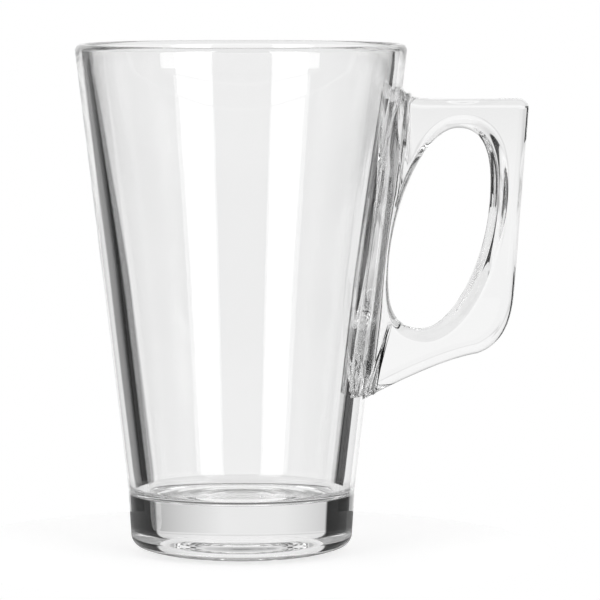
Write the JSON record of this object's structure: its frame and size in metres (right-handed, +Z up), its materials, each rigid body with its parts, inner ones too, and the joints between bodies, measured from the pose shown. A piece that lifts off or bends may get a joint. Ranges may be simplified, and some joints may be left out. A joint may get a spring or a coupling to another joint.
{
  "type": "cappuccino mug",
  "caption": "Clear glass cappuccino mug: tall tapered bowl on a heavy round base, rounded rim, and a flat closed loop handle with an oval finger hole.",
  "frame": {"origin": "on the bowl's axis, at the plane of the flat ring that the mug stands on", "axes": "+Z up along the bowl's axis, +X from the axis toward the handle, the handle's flat loop lies in the XZ plane"},
  "size_m": [0.1093, 0.08, 0.123],
  "materials": {
    "bowl_glass": "clear, smooth, fire-polished",
    "handle_glass": "clear, smooth, fire-polished"
  },
  "bodies": {
    "root": {"glass_body": "bowl_glass", "handle": "handle_glass"}
  },
  "joints": []
}
